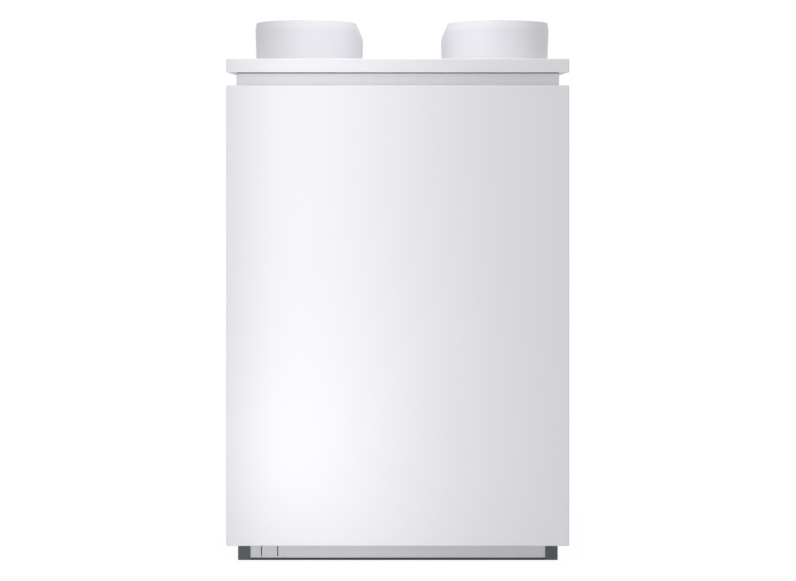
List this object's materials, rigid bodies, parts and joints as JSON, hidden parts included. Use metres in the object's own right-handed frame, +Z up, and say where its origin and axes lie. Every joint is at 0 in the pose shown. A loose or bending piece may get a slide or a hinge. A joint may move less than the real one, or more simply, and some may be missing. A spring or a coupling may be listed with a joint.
{
  "type": "air source heat pump",
  "caption": "Deep white indoor cabinet heat pump with two oval air collars on its lid, lift-off front panel, levelling feet, fan, evaporator, compressor and water pipes inside",
  "frame": {"origin": "middle of the footprint, on the floor plane under the feet", "axes": "+X to the right seen from the front, +Y from the front to the back, +Z up"},
  "size_m": [0.784, 1.182, 1.27],
  "materials": {
    "base_rails": "dark grey coat",
    "cable_glands": "light grey nylon",
    "casing_screws": "zinc-plated steel",
    "chamber_wall": "galvanised sheet",
    "collar_gaskets": "rubber sheet",
    "compressor_bearings": "machined iron",
    "compressor_grommets": "rubber",
    "compressor_rotor": "machined steel",
    "compressor_shell": "black enamel",
    "compressor_stator": "laminated steel and winding",
    "condenser": "brazed stainless plates",
    "connection_tray": "moulded dark grey plastic",
    "control_board": "green laminate with modules",
    "corner_blocks": "moulded dark grey plastic",
    "deck": "galvanised sheet",
    "drain_pipe": "grey-white plastic",
    "drip_tray": "stainless sheet",
    "evaporator_end_plates": "galvanised sheet",
    "evaporator_fins": "thin bright fins",
    "evaporator_tubes": "copper tube",
    "expansion_valve": "brass",
    "fan_impeller": "glass-filled black plastic",
    "fan_inlet_ring": "spun galvanised sheet",
    "fan_motor_plate": "galvanised sheet",
    "fan_plate": "galvanised sheet",
    "fan_rotor": "die-cast aluminium",
    "fan_stator": "die-cast aluminium",
    "fan_struts": "zinc-plated rod",
    "filter_drier": "copper",
    "floor_plate": "galvanised sheet",
    "foot_pad_front_left": "black rubber",
    "foot_pad_front_right": "black rubber",
    "foot_pad_rear_left": "black rubber",
    "foot_pad_rear_right": "black rubber",
    "foot_spindle_front_left": "zinc-plated thread",
    "foot_spindle_front_right": "zinc-plated thread",
    "foot_spindle_rear_left": "zinc-plated thread",
    "foot_spindle_rear_right": "zinc-plated thread",
    "frame_posts": "galvanised sheet",
    "front_lining": "open-cell acoustic foam",
    "front_panel": "smooth white powder coat",
    "intake_collar": "fine-grained white plastic",
    "left_panel": "smooth white powder coat",
    "lid": "smooth white powder coat",
    "lid_seals": "cellular rubber strip",
    "liquid_receiver": "black enamel",
    "outlet_collar": "fine-grained white plastic",
    "panel_catches": "moulded nylon",
    "panel_studs": "turned steel",
    "rear_panel": "smooth white powder coat",
    "refrigerant_lines": "copper tube",
    "reset_button": "glossy red",
    "reversing_valve": "brass",
    "right_panel": "smooth white powder coat",
    "skirting": "smooth white powder coat",
    "switch_box": "galvanised sheet",
    "switch_box_cover": "light grey coat",
    "top_rails": "white powder coat",
    "water_pipes": "copper tube"
  },
  "bodies": {
    "cabinet": {"base_rails": "base_rails", "cable_glands": "cable_glands", "casing_screws": "casing_screws", "chamber_wall": "chamber_wall", "collar_gaskets": "collar_gaskets", "compressor_bearings": "compressor_bearings", "compressor_grommets": "compressor_grommets", "compressor_shell": "compressor_shell", "compressor_stator": "compressor_stator", "condenser": "condenser", "connection_tray": "connection_tray", "control_board": "control_board", "corner_blocks": "corner_blocks", "deck": "deck", "drain_pipe": "drain_pipe", "drip_tray": "drip_tray", "evaporator_end_plates": "evaporator_end_plates", "evaporator_fins": "evaporator_fins", "evaporator_tubes": "evaporator_tubes", "expansion_valve": "expansion_valve", "fan_inlet_ring": "fan_inlet_ring", "fan_motor_plate": "fan_motor_plate", "fan_plate": "fan_plate", "fan_stator": "fan_stator", "fan_struts": "fan_struts", "filter_drier": "filter_drier", "floor_plate": "floor_plate", "frame_posts": "frame_posts", "intake_collar": "intake_collar", "left_panel": "left_panel", "lid": "lid", "lid_seals": "lid_seals", "liquid_receiver": "liquid_receiver", "outlet_collar": "outlet_collar", "panel_catches": "panel_catches", "rear_panel": "rear_panel", "refrigerant_lines": "refrigerant_lines", "reversing_valve": "reversing_valve", "right_panel": "right_panel", "skirting": "skirting", "switch_box": "switch_box", "switch_box_cover": "switch_box_cover", "top_rails": "top_rails", "water_pipes": "water_pipes"},
    "front_panel": {"front_panel": "front_panel", "front_lining": "front_lining", "panel_studs": "panel_studs"},
    "fan": {"fan_impeller": "fan_impeller", "fan_rotor": "fan_rotor"},
    "compressor_rotor": {"compressor_rotor": "compressor_rotor"},
    "reset_button": {"reset_button": "reset_button"},
    "foot_front_left": {"foot_pad_front_left": "foot_pad_front_left", "foot_spindle_front_left": "foot_spindle_front_left"},
    "foot_front_right": {"foot_pad_front_right": "foot_pad_front_right", "foot_spindle_front_right": "foot_spindle_front_right"},
    "foot_rear_left": {"foot_pad_rear_left": "foot_pad_rear_left", "foot_spindle_rear_left": "foot_spindle_rear_left"},
    "foot_rear_right": {"foot_pad_rear_right": "foot_pad_rear_right", "foot_spindle_rear_right": "foot_spindle_rear_right"}
  },
  "joints": [
    {"name": "front_panel_slide", "type": "slide", "parent": "cabinet", "child": "front_panel", "axis": [0, -1, 0], "range_m": [0, 0.25]},
    {"name": "fan_spin", "type": "hinge", "parent": "cabinet", "child": "fan", "pos_m": [0.1, 0.1, 0.87], "axis": [1, 0, 0], "continuous": true},
    {"name": "compressor_spin", "type": "hinge", "parent": "cabinet", "child": "compressor_rotor", "pos_m": [0.17, 0.23, 0.28], "axis": [0, 0, 1], "continuous": true},
    {"name": "reset_button_press", "type": "slide", "parent": "cabinet", "child": "reset_button", "axis": [0, 1, 0], "range_m": [0, 0.002], "stiffness_N_per_m": 200, "springref_m": -0.002},
    {"name": "foot_front_left_height", "type": "slide", "parent": "cabinet", "child": "foot_front_left", "axis": [0, 0, -1], "range_m": [0, 0.02]},
    {"name": "foot_front_right_height", "type": "slide", "parent": "cabinet", "child": "foot_front_right", "axis": [0, 0, -1], "range_m": [0, 0.02]},
    {"name": "foot_rear_left_height", "type": "slide", "parent": "cabinet", "child": "foot_rear_left", "axis": [0, 0, -1], "range_m": [0, 0.02]},
    {"name": "foot_rear_right_height", "type": "slide", "parent": "cabinet", "child": "foot_rear_right", "axis": [0, 0, -1], "range_m": [0, 0.02]}
  ]
}
